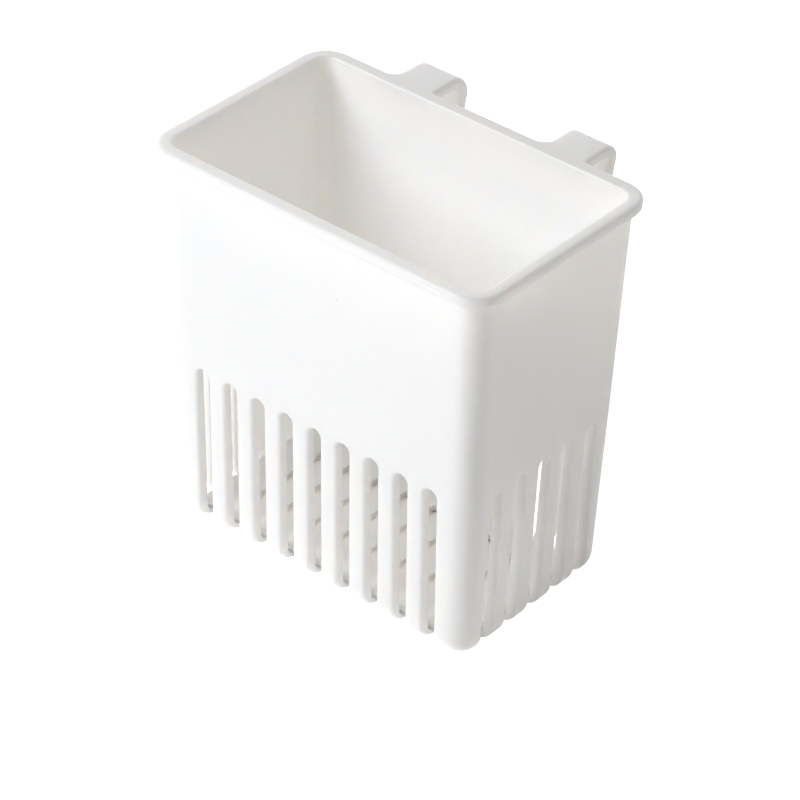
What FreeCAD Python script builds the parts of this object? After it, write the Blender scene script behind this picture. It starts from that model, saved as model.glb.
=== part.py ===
import FreeCAD, Part
import Sketcher
import math
import os

# Hanging utensil basket: a drafted, slotted tub with a rolled rim, a loose slotted floor plate
# and two J-shaped hooks at the back. Millimetres and degrees. X runs along the front from left
# to right, Y from front to back, Z up, and the origin is the middle of the underside.

SIZES = {
    # tub, outside
    "rim_width": 150.0,
    "rim_depth": 94.4,
    "basket_height": 157.5,
    "foot_width": 137.5,
    "foot_depth": 78.4,
    "corner_radius": 8.5,
    # tub, inside: the walls thicken downwards
    "wall_at_rim": 2.6,
    "wall_at_foot": 4.2,
    "cavity_foot_radius": 3.0,
    "mouth_round": 1.0,
    # rolled rim, which the hooks continue
    "lip_overhang": 3.1,
    "lip_height": 4.4,
    "lip_round": 1.5,
    # base ring
    "ring_thickness": 2.2,
    "ring_bar": 5.0,
    # slots of the four walls, as many as fit between the round corners
    "slot_pitch": 13.1,
    "slot_width": 5.9,
    "slot_top": 69.7,
    "slot_reach": 11.0,
    "slot_edge_round": 1.0,
    # loose floor plate, with its slots between those of the front wall
    "floor_thickness": 2.3,
    "floor_clearance": 0.3,
    "floor_slot_width": 3.4,
    "floor_slot_inset": 9.7,
    # hooks, with their bends measured on the inside
    "hook_width": 18.0,
    "hook_drop": 24.0,
    "hook_lean": 13.0,
    "hook_seat_web": 0.4,
    "left_flank_flare": 4.5,
    "right_flank_flare": 1.0,
    "left_hook_x": -32.0,
    "right_hook_x": 35.8,
    "left_hook_reach": 19.8,
    "right_hook_reach": 18.4,
    "left_bend_radius": 3.9,
    "right_bend_radius": 1.8,
}

# Lengths that several pieces share, as expressions of the sheet.
TUB_TOP_WIDTH = "(sizes.rim_width - 2 * sizes.lip_overhang)"
TUB_TOP_DEPTH = "(sizes.rim_depth - 2 * sizes.lip_overhang)"
CAVITY_CORNER = "(sizes.corner_radius - sizes.wall_at_rim)"
FLOOR_INSET = "(sizes.wall_at_foot + sizes.cavity_foot_radius + sizes.floor_clearance)"
RING_INSET = "(sizes.slot_reach + sizes.ring_bar)"
FLOOR_SLOT_LENGTH = f"(sizes.foot_depth - 2 * {FLOOR_INSET} - 2 * sizes.floor_slot_inset)"
HOOK_SEAT_Y = f"({TUB_TOP_DEPTH} / 2 + sizes.hook_seat_web)"

# The point of a sketch that stands for its origin.
ORIGIN = (-1, 1)
# How close two places are taken as the same, and how far a cutting outline starts outside the piece.
TOLERANCE = 1e-4
CUT_MARGIN = 1.0

doc = FreeCAD.newDocument("hanging_utensil_basket")


def make_sheet():
    sheet = doc.addObject("Spreadsheet::Sheet", "sizes")
    for row, (alias, value) in enumerate(SIZES.items(), start=1):
        sheet.set(f"A{row}", alias)
        sheet.set(f"B{row}", str(value))
        sheet.setAlias(f"B{row}", alias)
    doc.recompute()
    return sheet


sheet = make_sheet()


def size(name):
    """The number that the sheet holds under a name."""
    return float(sheet.get(name))


def value(expression):
    """The number that an expression of the sheet comes to."""
    return float(sheet.evalExpression(expression))


def make_body(label):
    body = doc.addObject("PartDesign::Body", label)
    body.Label = label
    return body


def origin_plane(body, role):
    return next(item for item in body.Origin.OriginFeatures if item.Role == role)


def make_sketch(body, role, label, height="0"):
    """A sketch on one of the body's own origin planes, moved along the plane's normal."""
    sketch = body.newObject("Sketcher::SketchObject", label)
    sketch.AttachmentSupport = (origin_plane(body, role), [""])
    sketch.MapMode = "FlatFace"
    sketch.setExpression("AttachmentOffset.Base.z", height)
    return sketch


def add_line(sketch, start, end):
    return sketch.addGeometry(Part.LineSegment(FreeCAD.Vector(*start, 0), FreeCAD.Vector(*end, 0)))


def add_arc(sketch, centre, radius, start_angle, end_angle):
    """An arc that runs counter-clockwise between two angles in degrees."""
    circle = Part.Circle(FreeCAD.Vector(*centre, 0), FreeCAD.Vector(0, 0, 1), radius)
    arc = Part.ArcOfCircle(circle, math.radians(start_angle), math.radians(end_angle))
    return sketch.addGeometry(arc)


def hold(sketch, kind, *where):
    """A constraint without a size."""
    sketch.addConstraint(Sketcher.Constraint(kind, *where))


def tie(sketch, expression, kind, *where):
    """A constraint whose size follows an expression of the sheet."""
    index = sketch.addConstraint(Sketcher.Constraint(kind, *where))
    sketch.setExpression(f"Constraints[{index}]", expression)


def rounded_rectangle(sketch, width, depth, radius):
    """A rectangle about the sketch's origin with four equal round corners."""
    half_w, half_d, corner = 30.0, 20.0, 2.0
    x, y = half_w - corner, half_d - corner
    add_line(sketch, (-x, -half_d), (x, -half_d))
    add_line(sketch, (half_w, -y), (half_w, y))
    add_line(sketch, (x, half_d), (-x, half_d))
    add_line(sketch, (-half_w, y), (-half_w, -y))
    for centre, angle in (((x, -y), -90), ((x, y), 0), ((-x, y), 90), ((-x, -y), 180)):
        add_arc(sketch, centre, corner, angle, angle + 90)
    for side in range(4):
        hold(sketch, "Tangent", side, 2, 4 + side, 1)
        hold(sketch, "Tangent", 4 + side, 2, (side + 1) % 4, 1)
    for side, kind in enumerate(("Horizontal", "Vertical", "Horizontal", "Vertical")):
        hold(sketch, kind, side)
    for arc in (5, 6, 7):
        hold(sketch, "Equal", 4, arc)
    hold(sketch, "Symmetric", 4, 3, 6, 3, *ORIGIN)
    tie(sketch, radius, "Radius", 4, corner)
    tie(sketch, width, "DistanceX", 3, 1, 1, 1, 2 * half_w)
    tie(sketch, depth, "DistanceY", 0, 1, 2, 1, 2 * half_d)


def pad(body, sketch, label, length, downwards=False):
    feature = body.newObject("PartDesign::Pad", label)
    feature.Profile = sketch
    feature.Reversed = downwards
    feature.setExpression("Length", length)
    return feature


def drafted_block(body, label, base, top, heights):
    """A block with four sloping walls between a base and a top rectangle about the Z axis."""
    block = body.newObject("PartDesign::AdditiveWedge", label)
    block.AttachmentSupport = (origin_plane(body, "XZ_Plane"), [""])
    block.MapMode = "FlatFace"
    for axis, base_length, top_length in (("X", base[0], top[0]), ("Z", base[1], top[1])):
        block.setExpression(f"{axis}min", f"-({base_length}) / 2")
        block.setExpression(f"{axis}max", f"({base_length}) / 2")
        block.setExpression(f"{axis}2min", f"-({top_length}) / 2")
        block.setExpression(f"{axis}2max", f"({top_length}) / 2")
    block.setExpression("Ymin", heights[0])
    block.setExpression("Ymax", heights[1])
    return block


def fillet(body, base, label, radius, wanted):
    """Round the edges of a feature that a test picks out."""
    doc.recompute()
    picked = [f"Edge{n}" for n, edge in enumerate(base.Shape.Edges, start=1) if wanted(edge)]
    feature = body.newObject("PartDesign::Fillet", label)
    feature.Base = (base, picked)
    feature.setExpression("Radius", radius)
    return feature


def lies_at(height):
    """A test for edges that lie flat at one height."""
    def wanted(edge):
        box = edge.BoundBox
        return max(abs(box.ZMin - height), abs(box.ZMax - height)) < TOLERANCE
    return wanted


def is_upright(edge):
    return edge.BoundBox.ZLength > max(edge.BoundBox.XLength, edge.BoundBox.YLength)


def touches(shape, edge):
    """Whether an edge lies on a shape all along, judged at three of its points."""
    span = edge.LastParameter - edge.FirstParameter
    points = [edge.valueAt(edge.FirstParameter + share * span) for share in (0.25, 0.5, 0.75)]
    return all(Part.Vertex(point).distToShape(shape)[0] < TOLERANCE for point in points)


def slot_count(foot_length):
    """How many slots fit on the flat of a wall between its round corners, as an expression."""
    room = f"({foot_length} - 2 * sizes.corner_radius - sizes.slot_width - 2 * sizes.slot_edge_round)"
    return f"(floor({room} / sizes.slot_pitch) + 1)"


def slot_row(body, label, role, side, wall_length, foot_distance):
    """Arched slots in one wall, cut outwards from a plane that lies slot_reach inside the foot."""
    plane_distance = f"{side} * ({foot_distance} / 2 - sizes.slot_reach)"
    sketch = make_sketch(body, role, f"{label}_outline", plane_distance)
    count = slot_count(wall_length)
    row_length = f"({count} - 1) * sizes.slot_pitch"
    half = size("slot_width") / 2
    spring, below = size("slot_top") - half, -CUT_MARGIN
    middle = -value(row_length) / 2
    left, right = middle - half, middle + half
    add_line(sketch, (left, spring), (left, below))
    add_line(sketch, (left, below), (right, below))
    add_line(sketch, (right, below), (right, spring))
    add_arc(sketch, (middle, spring), half, 0, 180)
    hold(sketch, "Coincident", 0, 2, 1, 1)
    hold(sketch, "Coincident", 1, 2, 2, 1)
    hold(sketch, "Tangent", 2, 2, 3, 1)
    hold(sketch, "Tangent", 3, 2, 0, 1)
    hold(sketch, "Vertical", 0)
    hold(sketch, "Horizontal", 1)
    hold(sketch, "Vertical", 2)
    tie(sketch, "sizes.slot_width", "DistanceX", 1, 1, 1, 2, 2 * half)
    tie(sketch, f"{row_length} / 2", "DistanceX", 3, 3, *ORIGIN, -middle)
    tie(sketch, "sizes.slot_top - sizes.slot_width / 2", "DistanceY", *ORIGIN, 3, 3, spring)
    tie(sketch, f"{CUT_MARGIN}", "DistanceY", 1, 1, *ORIGIN, -below)
    pocket = body.newObject("PartDesign::Pocket", f"{label}_first")
    pocket.Profile = sketch
    pocket.Type = "ThroughAll"
    pocket.Reversed = side > 0
    row = body.newObject("PartDesign::LinearPattern", label)
    row.Originals = [pocket]
    row.Direction = (sketch, ["H_Axis"])
    row.setExpression("Length", row_length)
    row.setExpression("Occurrences", count)
    body.Tip = row
    return row


# Basket shell

def make_tub(shell):
    """The solid tub, with its corners and its foot rounded alike."""
    block = drafted_block(
        shell, "tub_block",
        ("sizes.foot_width", "sizes.foot_depth"), (TUB_TOP_WIDTH, TUB_TOP_DEPTH),
        ("0", "sizes.basket_height"))
    at_foot = lies_at(0.0)
    return fillet(shell, block, "tub_rounds", "sizes.corner_radius",
                  lambda edge: is_upright(edge) or at_foot(edge))


def add_lip(shell, skin):
    """The rolled rim around the mouth."""
    outline = make_sketch(shell, "XY_Plane", "lip_outline", "sizes.basket_height")
    rounded_rectangle(outline, "sizes.rim_width", "sizes.rim_depth",
                      "sizes.corner_radius + sizes.lip_overhang")
    lip = pad(shell, outline, "lip", "sizes.lip_height", downwards=True)
    at_top = lies_at(size("basket_height"))
    at_under = lies_at(size("basket_height") - size("lip_height"))

    def on_outline(edge):
        return (at_top(edge) or at_under(edge)) and not touches(skin, edge)

    return fillet(shell, lip, "lip_rounds", "sizes.lip_round", on_outline)


def make_cavity():
    """The hollow of the tub as a solid of its own."""
    cavity = make_body("cavity")
    block = drafted_block(
        cavity, "cavity_block",
        ("sizes.foot_width - 2 * sizes.wall_at_foot", "sizes.foot_depth - 2 * sizes.wall_at_foot"),
        (f"{TUB_TOP_WIDTH} - 2 * sizes.wall_at_rim", f"{TUB_TOP_DEPTH} - 2 * sizes.wall_at_rim"),
        ("sizes.ring_thickness", "sizes.basket_height"))
    corners = fillet(cavity, block, "cavity_corners", CAVITY_CORNER, is_upright)
    fillet(cavity, corners, "cavity_foot", "sizes.cavity_foot_radius", lies_at(size("ring_thickness")))
    doc.recompute()
    return cavity


def hollow_out(shell):
    """Take the cavity out of the tub and round the edge of its mouth."""
    cavity = make_cavity()
    hollow = shell.newObject("PartDesign::Boolean", "hollow")
    hollow.Type = "Cut"
    hollow.Group = [cavity]
    at_top = lies_at(size("basket_height"))
    cavity_skin = cavity.Shape.Shells[0].copy()
    return fillet(shell, hollow, "mouth", "sizes.mouth_round",
                  lambda edge: at_top(edge) and touches(cavity_skin, edge))


def cut_slots(shell, skin, base):
    """Slots in the four walls, with the edges softened where they leave the outer skin."""
    width, depth = "sizes.foot_width", "sizes.foot_depth"
    slot_row(shell, "front_row", "XZ_Plane", 1, width, depth)
    slot_row(shell, "back_row", "XZ_Plane", -1, width, depth)
    slot_row(shell, "right_row", "YZ_Plane", 1, depth, width)
    last = slot_row(shell, "left_row", "YZ_Plane", -1, depth, width)
    old_edges = Part.Compound(base.Shape.Edges)

    def leaves_the_skin(edge):
        low_enough = edge.BoundBox.ZMax < size("slot_top") + TOLERANCE
        return low_enough and touches(skin, edge) and not touches(old_edges, edge)

    return fillet(shell, last, "slot_edges", "sizes.slot_edge_round", leaves_the_skin)


def cut_ring_opening(shell):
    """Open the base inside the ring that joins the ends of the bars."""
    outline = make_sketch(shell, "XY_Plane", "ring_opening_outline")
    rounded_rectangle(outline, f"sizes.foot_width - 2 * {RING_INSET}",
                      f"sizes.foot_depth - 2 * {RING_INSET}", "sizes.ring_bar")
    opening = shell.newObject("PartDesign::Pocket", "ring_opening")
    opening.Profile = outline
    opening.Reversed = True
    opening.setExpression("Length", "sizes.ring_thickness")
    return opening


def cut_hook_seat(shell, side):
    """A notch in the back of the lip that the root of one hook fills."""
    outline = make_sketch(shell, "XY_Plane", f"{side}_seat_outline", "sizes.basket_height")
    outline.setExpression("AttachmentOffset.Base.x", f"sizes.{side}_hook_x")
    root_outline(outline)
    seat = shell.newObject("PartDesign::Pocket", f"{side}_hook_seat")
    seat.Profile = outline
    seat.setExpression("Length", "sizes.lip_height")
    return seat


def make_shell():
    shell = make_body("basket_shell")
    tub = make_tub(shell)
    doc.recompute()
    skin = tub.Shape.Shells[0].copy()
    add_lip(shell, skin)
    hollow = hollow_out(shell)
    doc.recompute()
    cut_slots(shell, skin, hollow)
    cut_ring_opening(shell)
    for side in ("left", "right"):
        cut_hook_seat(shell, side)
    return shell


# Loose floor plate

def make_floor():
    floor = make_body("drain_floor")
    floor.setExpression("Placement.Base.z", "sizes.ring_thickness")
    outline = make_sketch(floor, "XY_Plane", "floor_outline")
    rounded_rectangle(outline, f"sizes.foot_width - 2 * {FLOOR_INSET}",
                      f"sizes.foot_depth - 2 * {FLOOR_INSET}",
                      f"{CAVITY_CORNER} - sizes.cavity_foot_radius")
    pad(floor, outline, "plate", "sizes.floor_thickness")
    count = f"({slot_count('sizes.foot_width')} - 1)"
    row_length = f"({count} - 1) * sizes.slot_pitch"
    middle = -value(row_length) / 2
    half = size("floor_slot_width") / 2
    end = value(FLOOR_SLOT_LENGTH) / 2 - half
    slot = make_sketch(floor, "XY_Plane", "floor_slot_outline")
    add_line(slot, (middle - half, end), (middle - half, -end))
    add_line(slot, (middle + half, -end), (middle + half, end))
    add_arc(slot, (middle, -end), half, 180, 360)
    add_arc(slot, (middle, end), half, 0, 180)
    hold(slot, "Tangent", 0, 2, 2, 1)
    hold(slot, "Tangent", 2, 2, 1, 1)
    hold(slot, "Tangent", 1, 2, 3, 1)
    hold(slot, "Tangent", 3, 2, 0, 1)
    hold(slot, "Vertical", 0)
    hold(slot, "Symmetric", 2, 3, 3, 3, -1)
    tie(slot, "sizes.floor_slot_width / 2", "Radius", 2, half)
    tie(slot, f"{FLOOR_SLOT_LENGTH} - sizes.floor_slot_width", "DistanceY", 2, 3, 3, 3, 2 * end)
    tie(slot, f"{row_length} / 2", "DistanceX", 3, 3, *ORIGIN, -middle)
    pocket = floor.newObject("PartDesign::Pocket", "floor_slot_first")
    pocket.Profile = slot
    pocket.Type = "ThroughAll"
    pocket.Reversed = True
    row = floor.newObject("PartDesign::LinearPattern", "floor_slots")
    row.Originals = [pocket]
    row.Direction = (slot, ["H_Axis"])
    row.setExpression("Length", row_length)
    row.setExpression("Occurrences", count)
    floor.Tip = row
    return floor


# Hooks

def root_outline(sketch):
    """The flared root of a hook from above, about the hook's middle, from its seat to the flares' ends."""
    half = size("hook_width") / 2
    seat_y, lip_y = value(HOOK_SEAT_Y), size("rim_depth") / 2
    left, right = size("left_flank_flare"), size("right_flank_flare")
    add_line(sketch, (-half - left, seat_y), (-half - left, lip_y))
    add_arc(sketch, (-half - left, lip_y + left), left, -90, 0)
    add_line(sketch, (-half, lip_y + left), (half, lip_y + right))
    add_arc(sketch, (half + right, lip_y + right), right, 180, 270)
    add_line(sketch, (half + right, lip_y), (half + right, seat_y))
    add_line(sketch, (half + right, seat_y), (-half - left, seat_y))
    for piece in range(6):
        hold(sketch, "Coincident", piece, 2, (piece + 1) % 6, 1)
    hold(sketch, "Vertical", 0)
    hold(sketch, "Vertical", 4)
    hold(sketch, "Horizontal", 5)
    for arc, below, beside in ((1, 1, 2), (3, 2, 1)):
        hold(sketch, "Vertical", arc, 3, arc, below)
        hold(sketch, "Horizontal", arc, 3, arc, beside)
    tie(sketch, "sizes.left_flank_flare", "Radius", 1, left)
    tie(sketch, "sizes.right_flank_flare", "Radius", 3, right)
    tie(sketch, "sizes.hook_width", "DistanceX", 2, 1, 2, 2, 2 * half)
    tie(sketch, "sizes.hook_width / 2", "DistanceX", 2, 1, *ORIGIN, half)
    tie(sketch, "sizes.rim_depth / 2", "DistanceY", *ORIGIN, 0, 2, lip_y)
    tie(sketch, "sizes.rim_depth / 2", "DistanceY", *ORIGIN, 4, 1, lip_y)
    tie(sketch, HOOK_SEAT_Y, "DistanceY", *ORIGIN, 0, 1, seat_y)


def hook_profile(sketch, side):
    """The J of a hook from the side: top plate, round bend, leaning leg and round tip."""
    thickness, top, lean = size("lip_height"), size("basket_height"), size("hook_lean")
    inner = size(f"{side}_bend_radius")
    outer = inner + thickness
    seat_y = value(HOOK_SEAT_Y)
    bend_middle = f"sizes.rim_depth / 2 + sizes.{side}_hook_reach - sizes.{side}_bend_radius - sizes.lip_height"
    bend_y, bend_z = value(bend_middle), top - outer
    sine, cosine = math.sin(math.radians(lean)), math.cos(math.radians(lean))
    tip_z = top - size("hook_drop") + thickness / 2
    mean = (outer + inner) / 2
    leg = (bend_z - mean * sine - tip_z) / cosine

    def on_leg(radius, along):
        return (bend_y + radius * cosine - along * sine, bend_z - radius * sine - along * cosine)

    add_line(sketch, (seat_y, top), (bend_y, top))
    add_arc(sketch, (bend_y, bend_z), outer, -lean, 90)
    add_line(sketch, on_leg(outer, 0), on_leg(outer, leg))
    add_arc(sketch, on_leg(mean, leg), thickness / 2, 180 - lean, 360 - lean)
    add_line(sketch, on_leg(inner, leg), on_leg(inner, 0))
    add_arc(sketch, (bend_y, bend_z), inner, -lean, 90)
    add_line(sketch, (bend_y, top - thickness), (seat_y, top - thickness))
    add_line(sketch, (seat_y, top - thickness), (seat_y, top))
    hold(sketch, "Tangent", 0, 2, 1, 2)
    hold(sketch, "Tangent", 1, 1, 2, 1)
    hold(sketch, "Tangent", 2, 2, 3, 2)
    hold(sketch, "Tangent", 3, 1, 4, 1)
    hold(sketch, "Tangent", 4, 2, 5, 1)
    hold(sketch, "Tangent", 5, 2, 6, 1)
    hold(sketch, "Coincident", 6, 2, 7, 1)
    hold(sketch, "Coincident", 7, 2, 0, 1)
    hold(sketch, "Coincident", 1, 3, 5, 3)
    hold(sketch, "Horizontal", 0)
    hold(sketch, "Horizontal", 6)
    hold(sketch, "Vertical", 7)
    hold(sketch, "Parallel", 2, 4)
    tie(sketch, f"sizes.{side}_bend_radius", "Radius", 5, inner)
    tie(sketch, "sizes.lip_height", "DistanceY", 7, 1, 7, 2, thickness)
    tie(sketch, HOOK_SEAT_Y, "DistanceX", *ORIGIN, 0, 1, seat_y)
    tie(sketch, "sizes.basket_height", "DistanceY", *ORIGIN, 0, 1, top)
    tie(sketch, bend_middle, "DistanceX", *ORIGIN, 1, 3, bend_y)
    tie(sketch, "sizes.basket_height - sizes.hook_drop + sizes.lip_height / 2",
        "DistanceY", *ORIGIN, 3, 3, tip_z)
    tie(sketch, "-(90 + sizes.hook_lean) * 1 deg", "Angle", 2, math.radians(-90 - lean))


def make_hook(side):
    hook = make_body(f"{side}_hook")
    hook.setExpression("Placement.Base.x", f"sizes.{side}_hook_x")
    profile = make_sketch(hook, "YZ_Plane", f"{side}_hook_profile")
    hook_profile(profile, side)
    plate = pad(hook, profile, f"{side}_hook_plate", "sizes.hook_width")
    plate.SideType = "Symmetric"
    outline = make_sketch(hook, "XY_Plane", f"{side}_root_outline", "sizes.basket_height")
    root_outline(outline)
    root = pad(hook, outline, f"{side}_hook_root", "sizes.lip_height", downwards=True)
    lip_y = size("rim_depth") / 2

    def along_flank(edge):
        box = edge.BoundBox
        crosswise = box.XLength > size("hook_width") - TOLERANCE
        upright_at_lip = is_upright(edge) and box.YMax < lip_y + size("left_flank_flare") + TOLERANCE
        return box.YMin > lip_y - TOLERANCE and not crosswise and not upright_at_lip

    fillet(hook, root, f"{side}_hook_edges", "sizes.lip_round", along_flank)
    return hook


def check_and_write(pieces):
    """Stop at any failed object or bad solid, then write one file for each piece."""
    doc.recompute()
    for item in doc.Objects:
        if {"Invalid", "Error"} & set(item.State):
            raise RuntimeError(f"{item.Name} failed: {item.State}")
    for sketch in (item for item in doc.Objects if item.TypeId == "Sketcher::SketchObject"):
        if not sketch.FullyConstrained:
            raise RuntimeError(f"{sketch.Name} isn't fully constrained")
    os.makedirs("parts", exist_ok=True)
    for piece in pieces:
        shape = piece.Shape
        if shape.isNull() or not shape.isValid() or len(shape.Solids) != 1:
            raise RuntimeError(f"{piece.Label} isn't one valid solid")
    for piece in pieces:
        piece.Shape.exportStep(f"parts/{piece.Label}.step")


check_and_write([make_shell(), make_floor(), make_hook("left"), make_hook("right")])
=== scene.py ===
import math

import bpy
from mathutils import Matrix, Vector

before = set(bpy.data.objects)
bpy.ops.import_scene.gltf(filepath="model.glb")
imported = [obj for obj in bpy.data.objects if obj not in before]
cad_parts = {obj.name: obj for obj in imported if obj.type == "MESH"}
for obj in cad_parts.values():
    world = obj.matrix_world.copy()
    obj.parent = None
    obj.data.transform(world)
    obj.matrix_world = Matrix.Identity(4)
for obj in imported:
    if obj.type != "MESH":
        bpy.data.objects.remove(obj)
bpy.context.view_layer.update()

# Tones of the moulded white plastic: clean, slightly yellowed, painted shade in creases, on edges, dust and
# scuffs
CLEAN_WHITE = (0.978, 0.968, 0.954, 1.0)
WARM_WHITE = (0.970, 0.957, 0.938, 1.0)
# Painted shade: a darker, warmer tone laid into creases and corners
CREASE_SHADE_TONE = (0.930, 0.915, 0.895, 1.0)
EDGE_TONE = (0.980, 0.972, 0.960, 1.0)
SPECK_TONE = (0.360, 0.320, 0.280, 1.0)
SCUFF_TONE = (0.700, 0.690, 0.675, 1.0)

# Sizes of the finish's details, as features to the metre
CLOUD_SCALE = 16.0
PEEL_SCALE = 420.0
GRAIN_SCALE = 2400.0
SPECK_SCALE = 95.0
SCUFF_SCALE = 60.0
SCUFF_STRETCH = (1.0, 1.0, 0.07)

# Sizes of the finish's details and of the painted crease shade, in metres
PEEL_HEIGHT = 0.00003
GRAIN_HEIGHT = 0.000012
CREASE_SHADE_REACH = 0.006
EDGE_REACH = 0.0016

# Dust specks: their radius as a share of a cell, and the share of cells that hold one
SPECK_RADIUS = 0.035
SPECK_SHARE = 0.10

# The span of each pattern's values over which its detail comes in, and how strongly it then shows
CLOUD_SPAN = (0.35, 0.65)
# The crease span and strength set how much shade is painted into creases
CREASE_SHADE_SPAN = (0.35, 0.95)
CREASE_SHADE_STRENGTH = 0.40
EDGE_SPAN = (0.25, 0.75)
EDGE_STRENGTH = 0.80
SCUFF_SPAN = (0.60, 0.78)
SCUFF_STRENGTH = 0.08
SPECK_STRENGTH = 0.45
PEEL_SPAN = (0.3, 0.7)
NEARNESS_SAMPLES = 4

# Shine: the roughness of each piece, how far the peel and the scuffs change it, and the plastic's IOR
SHELL_ROUGHNESS = 0.42
PLATE_ROUGHNESS = 0.46
PEEL_ROUGHNESS = 0.05
SCUFF_ROUGHNESS = 0.10
PLASTIC_IOR = 1.49

# Light goes some way into the plastic and comes out warmer, so that thin walls let a little through.
# It stops at the hooks' seats, where it would be lost between the pieces and leave dark seams.
SCATTER_LENGTH = 0.0095
SCATTER_BY_COLOUR = (1.0, 0.80, 0.62)
SEAT_Y = 0.0445
SEAT_MARGIN = (0.0015, 0.0060)
SEAT_LOW_Z = (0.140, 0.150)

# The photograph's camera: where it looks, from where, and its lens on a square sensor
AIM = Vector((0.00035, 0.00534, 0.05806))
CAMERA_AZIMUTH = 38.968
CAMERA_ELEVATION = 35.237
CAMERA_ROLL = 2.142
CAMERA_DISTANCE = 1.30525
LENS = 164.61
SENSOR_WIDTH = 36.0

# Studio: a soft key at the front left, a bright white sweep behind the object, and a dim room elsewhere
KEY_AZIMUTH = -29.0
KEY_ELEVATION = 37.0
KEY_DISTANCE = 1.6
KEY_SIZE = 0.8
KEY_POWER = 18.2
ROOM_STRENGTH = 0.14
ROOM_TONE = (1.0, 0.985, 0.97, 1.0)
SWEEP_STRENGTH = 2.2
SWEEP_AZIMUTH = -160.0
SWEEP_EDGE = (0.05, 0.65)
SWEEP_TOP = (0.25, 0.60)
BACKDROP_WHITE = (1.0, 1.0, 1.0, 1.0)
LIGHT_BOUNCES = 10

# A pale floor that is seen brighter than it lights the object, though less so under the basket, where a
# darker, warmer tone is painted as shade
FLOOR_RADIUS = 30.0
FLOOR_SIDES = 64
FLOOR_DROP = 0.0001
FLOOR_TONE = (0.92, 0.92, 0.92, 1.0)
FLOOR_TONE_SEEN = (3.4, 3.4, 3.4, 1.0)
# Painted shade: the floor is seen darker and warmer under the basket
FLOOR_SHADE_UNDER = (2.10, 1.95, 1.78, 1.0)
UNDER_SHADE_HALF_SIZE = {"X": 0.060, "Y": 0.030}
UNDER_SHADE_EDGE = 0.004


def fill(tree, socket, value):
    """Links the value to the socket if it is a socket too, or else sets it there."""
    if isinstance(value, bpy.types.NodeSocket):
        tree.links.new(value, socket)
    else:
        socket.default_value = value


def add_node(tree, kind, settings=None, **inputs):
    """A shader node with its settings, and its inputs given as values or as sockets to link."""
    node = tree.nodes.new(kind)
    for name, value in (settings or {}).items():
        setattr(node, name, value)
    for name, value in inputs.items():
        fill(tree, node.inputs[name.replace("_", " ")], value)
    return node


def reckon(tree, operation, *values):
    """The result of a sum on one to three values or sockets."""
    node = add_node(tree, "ShaderNodeMath", {"operation": operation})
    for socket, value in zip(node.inputs, values):
        fill(tree, socket, value)
    return node.outputs["Value"]


def remap(tree, value, span, low, high):
    """A value stretched from its span to another, and held at its ends."""
    node = add_node(tree, "ShaderNodeMapRange", Value=value, From_Min=span[0], From_Max=span[1],
                    To_Min=low, To_Max=high)
    return node.outputs["Result"]


def mix_tone(tree, share, first, second):
    """A colour between two, each a value or a socket."""
    node = add_node(tree, "ShaderNodeMix", {"data_type": "RGBA"})
    sockets = {socket.identifier: socket for socket in node.inputs}
    fill(tree, sockets["Factor_Float"], share)
    fill(tree, sockets["A_Color"], first)
    fill(tree, sockets["B_Color"], second)
    return next(socket for socket in node.outputs if socket.identifier == "Result_Color")


def noise(tree, place, scale, detail=2.0):
    return add_node(tree, "ShaderNodeTexNoise", Vector=place, Scale=scale, Detail=detail).outputs["Fac"]


def object_place(tree):
    return add_node(tree, "ShaderNodeTexCoord").outputs["Object"]


def blank_material(name):
    material = bpy.data.materials.new(name)
    material.use_nodes = True
    material.node_tree.nodes.clear()
    return material


def speck_mask(tree, place):
    """Round specks of dust, in a few of the cells that they could lie in."""
    cells = add_node(tree, "ShaderNodeTexVoronoi", Vector=place, Scale=SPECK_SCALE)
    near = remap(tree, cells.outputs["Distance"], (SPECK_RADIUS / 2, SPECK_RADIUS), 1.0, 0.0)
    draw = add_node(tree, "ShaderNodeSeparateColor", Color=cells.outputs["Color"])
    chosen = reckon(tree, "LESS_THAN", draw.outputs["Red"], SPECK_SHARE)
    return reckon(tree, "MULTIPLY", near, chosen)


def scuff_mask(tree, place):
    """Faint upright streaks, as wiping leaves them."""
    stretched = add_node(tree, "ShaderNodeMapping", Vector=place, Scale=SCUFF_STRETCH)
    streaks = noise(tree, stretched.outputs["Vector"], SCUFF_SCALE, detail=4.0)
    return remap(tree, streaks, SCUFF_SPAN, 0.0, 1.0)


def nearness(tree, reach, inside):
    """How open the surface is within a reach, or how thin the solid is when measured inside it."""
    node = add_node(tree, "ShaderNodeAmbientOcclusion", {"samples": NEARNESS_SAMPLES, "inside": inside},
                    Distance=reach)
    return node.outputs["AO"]


def scatter_share(tree, place):
    """How much light enters the plastic: none at the hooks' seats, and all of it elsewhere."""
    along = add_node(tree, "ShaderNodeSeparateXYZ", Vector=place)
    distance = reckon(tree, "ABSOLUTE", reckon(tree, "SUBTRACT", along.outputs["Y"], SEAT_Y))
    clear_of_seat = remap(tree, distance, SEAT_MARGIN, 0.0, 1.0)
    below_seat = remap(tree, along.outputs["Z"], SEAT_LOW_Z, 1.0, 0.0)
    return reckon(tree, "MAXIMUM", clear_of_seat, below_seat)


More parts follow.
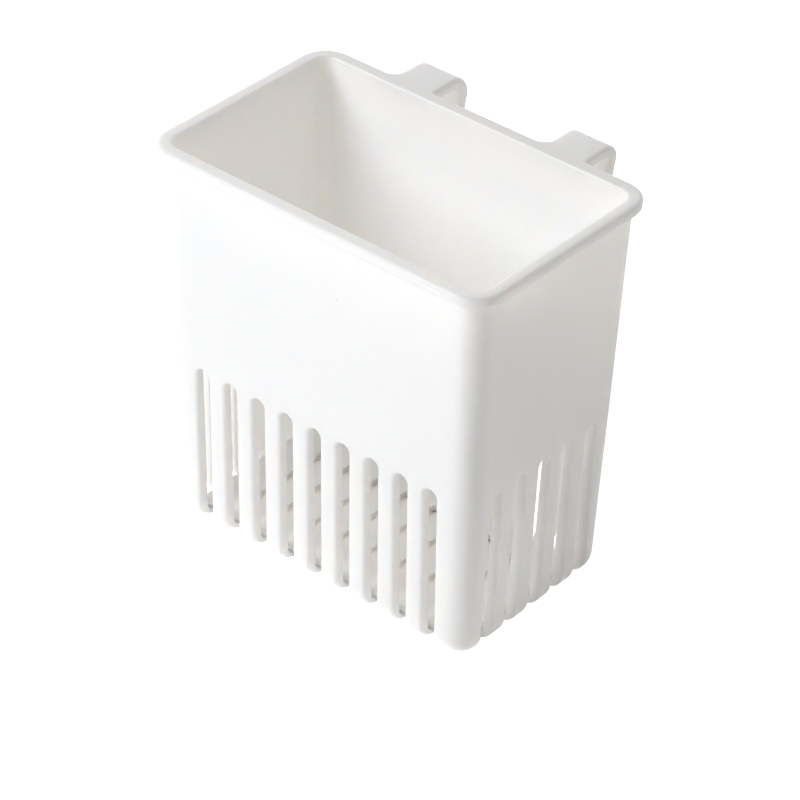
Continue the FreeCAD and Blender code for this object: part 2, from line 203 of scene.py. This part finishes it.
def plastic_tone(tree, place, scuffs):
    """Clouded whites with painted warm shade in creases, pale edges, scuffs and dust."""
    clouds = remap(tree, noise(tree, place, CLOUD_SCALE, detail=3.0), CLOUD_SPAN, 0.0, 1.0)
    tone = mix_tone(tree, clouds, CLEAN_WHITE, WARM_WHITE)
    # Painted shade: darker and warmer where nearby surfaces hem the surface in, as in creases and slot sides
    crease_shade = nearness(tree, CREASE_SHADE_REACH, False)
    tone = mix_tone(tree, remap(tree, crease_shade, CREASE_SHADE_SPAN, CREASE_SHADE_STRENGTH, 0.0), tone, CREASE_SHADE_TONE)
    edge = nearness(tree, EDGE_REACH, True)
    tone = mix_tone(tree, remap(tree, edge, EDGE_SPAN, 0.0, EDGE_STRENGTH), tone, EDGE_TONE)
    tone = mix_tone(tree, reckon(tree, "MULTIPLY", scuffs, SCUFF_STRENGTH), tone, SCUFF_TONE)
    specks = speck_mask(tree, place)
    return mix_tone(tree, reckon(tree, "MULTIPLY", specks, SPECK_STRENGTH), tone, SPECK_TONE)


def white_polypropylene(name, satin, see_through):
    """Satin white moulding with a soft peel and a fine grain, which may let some light through."""
    material = blank_material(name)
    tree = material.node_tree
    place = object_place(tree)
    scuffs = scuff_mask(tree, place)
    peel = noise(tree, place, PEEL_SCALE)
    grain = noise(tree, place, GRAIN_SCALE, detail=3.0)
    shine = remap(tree, peel, PEEL_SPAN, satin - PEEL_ROUGHNESS, satin + PEEL_ROUGHNESS)
    soft_bump = add_node(tree, "ShaderNodeBump", Height=peel, Distance=PEEL_HEIGHT)
    fine_bump = add_node(tree, "ShaderNodeBump", Height=grain, Distance=GRAIN_HEIGHT,
                         Normal=soft_bump.outputs["Normal"])
    scatter = scatter_share(tree, place) if see_through else 0.0
    plastic = add_node(tree, "ShaderNodeBsdfPrincipled", Base_Color=plastic_tone(tree, place, scuffs),
                       Roughness=reckon(tree, "MULTIPLY_ADD", scuffs, SCUFF_ROUGHNESS, shine),
                       Normal=fine_bump.outputs["Normal"], IOR=PLASTIC_IOR,
                       Subsurface_Weight=scatter, Subsurface_Radius=SCATTER_BY_COLOUR,
                       Subsurface_Scale=SCATTER_LENGTH)
    add_node(tree, "ShaderNodeOutputMaterial", Surface=plastic.outputs["BSDF"])
    return material


def dress(node_names, material):
    for name in node_names:
        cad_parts[name].material_slots[0].material = material


def seen_directly(tree):
    """One for rays that show a backdrop: from the camera, or by way of a shiny or clear surface."""
    path = add_node(tree, "ShaderNodeLightPath")
    camera_or_glossy = reckon(tree, "MAXIMUM", path.outputs["Is Camera Ray"], path.outputs["Is Glossy Ray"])
    return reckon(tree, "MAXIMUM", camera_or_glossy, path.outputs["Is Transmission Ray"])


def painted_shade_under_basket(tree):
    """One on the floor within the basket's foot, where shade is painted, and none outside it."""
    along = add_node(tree, "ShaderNodeSeparateXYZ", Vector=object_place(tree))
    within = []
    for axis, half_size in UNDER_SHADE_HALF_SIZE.items():
        distance = reckon(tree, "ABSOLUTE", along.outputs[axis])
        edge = (half_size - UNDER_SHADE_EDGE, half_size + UNDER_SHADE_EDGE)
        within.append(remap(tree, distance, edge, 1.0, 0.0))
    return reckon(tree, "MULTIPLY", *within)


def pale_floor_material():
    """Matt white that takes the object's shadow, and is lifted to the backdrop's white where it is seen,
    except under the basket, where a darker, warmer tone is painted as shade.
    """
    material = blank_material("pale_floor")
    tree = material.node_tree
    # Painted shade under the basket: a darker, warmer seen tone within the foot
    seen_tone = mix_tone(tree, painted_shade_under_basket(tree), FLOOR_TONE_SEEN, FLOOR_SHADE_UNDER)
    tone = mix_tone(tree, seen_directly(tree), FLOOR_TONE, seen_tone)
    matt = add_node(tree, "ShaderNodeBsdfDiffuse", Color=tone)
    add_node(tree, "ShaderNodeOutputMaterial", Surface=matt.outputs["BSDF"])
    return material


def make_floor():
    bpy.ops.mesh.primitive_circle_add(vertices=FLOOR_SIDES, radius=FLOOR_RADIUS, fill_type="NGON",
                                      location=(0.0, 0.0, -FLOOR_DROP))
    floor = bpy.context.object
    floor.name = "studio_floor"
    floor.data.materials.append(pale_floor_material())


def direction(azimuth, elevation):
    """The way from the object to something seen at these angles, in degrees from the front."""
    a = math.radians(azimuth)
    e = math.radians(elevation)
    return Vector((math.sin(a) * math.cos(e), -math.cos(a) * math.cos(e), math.sin(e)))


def look_along(back, place):
    """A turn and a place whose -Z axis points the other way to back, with +Y up."""
    turn = back.to_track_quat("Z", "Y").to_matrix().to_4x4()
    return Matrix.Translation(place) @ turn


def make_room():
    """A dim room with a bright sweep low behind the object, and plain white where the room itself is seen."""
    world = bpy.data.worlds.new("studio_room")
    bpy.context.scene.world = world
    world.use_nodes = True
    tree = world.node_tree
    tree.nodes.clear()
    way = add_node(tree, "ShaderNodeTexCoord").outputs["Generated"]
    facing = add_node(tree, "ShaderNodeVectorMath", {"operation": "DOT_PRODUCT"})
    fill(tree, facing.inputs[0], way)
    fill(tree, facing.inputs[1], direction(SWEEP_AZIMUTH, 0.0))
    height = add_node(tree, "ShaderNodeSeparateXYZ", Vector=way).outputs["Z"]
    behind = remap(tree, facing.outputs["Value"], SWEEP_EDGE, 0.0, 1.0)
    low = remap(tree, height, SWEEP_TOP, 1.0, 0.0)
    on_sweep = reckon(tree, "MULTIPLY", behind, low)
    strength = remap(tree, on_sweep, (0.0, 1.0), ROOM_STRENGTH, SWEEP_STRENGTH)
    lighting = add_node(tree, "ShaderNodeBackground", Color=ROOM_TONE, Strength=strength)
    backdrop = add_node(tree, "ShaderNodeBackground", Color=BACKDROP_WHITE, Strength=1.0)
    world_light = add_node(tree, "ShaderNodeMixShader", Fac=seen_directly(tree))
    fill(tree, world_light.inputs[1], lighting.outputs["Background"])
    fill(tree, world_light.inputs[2], backdrop.outputs["Background"])
    add_node(tree, "ShaderNodeOutputWorld", Surface=world_light.outputs["Shader"])


def make_key():
    """A square softbox that faces the object."""
    light = bpy.data.lights.new("key_softbox", "AREA")
    light.shape = "SQUARE"
    light.size = KEY_SIZE
    light.energy = KEY_POWER
    key = bpy.data.objects.new("key_softbox", light)
    bpy.context.scene.collection.objects.link(key)
    back = direction(KEY_AZIMUTH, KEY_ELEVATION)
    key.matrix_world = look_along(back, AIM + KEY_DISTANCE * back)


def make_camera():
    lens = bpy.data.cameras.new("photo_camera")
    lens.sensor_width = SENSOR_WIDTH
    lens.lens = LENS
    camera = bpy.data.objects.new("photo_camera", lens)
    bpy.context.scene.collection.objects.link(camera)
    back = direction(CAMERA_AZIMUTH, CAMERA_ELEVATION)
    roll = Matrix.Rotation(math.radians(CAMERA_ROLL), 4, "Z")
    camera.matrix_world = look_along(back, AIM + CAMERA_DISTANCE * back) @ roll
    bpy.context.scene.camera = camera


translucent_white = white_polypropylene("white_shell", SHELL_ROUGHNESS, True)
opaque_white = white_polypropylene("white_floor", PLATE_ROUGHNESS, False)
dress(["basket_shell", "left_hook", "right_hook"], translucent_white)
dress(["drain_floor"], opaque_white)
make_floor()
make_room()
make_key()
make_camera()
bpy.context.scene.view_settings.view_transform = "Standard"
bpy.context.scene.cycles.max_bounces = LIGHT_BOUNCES
bpy.context.scene.cycles.diffuse_bounces = LIGHT_BOUNCES
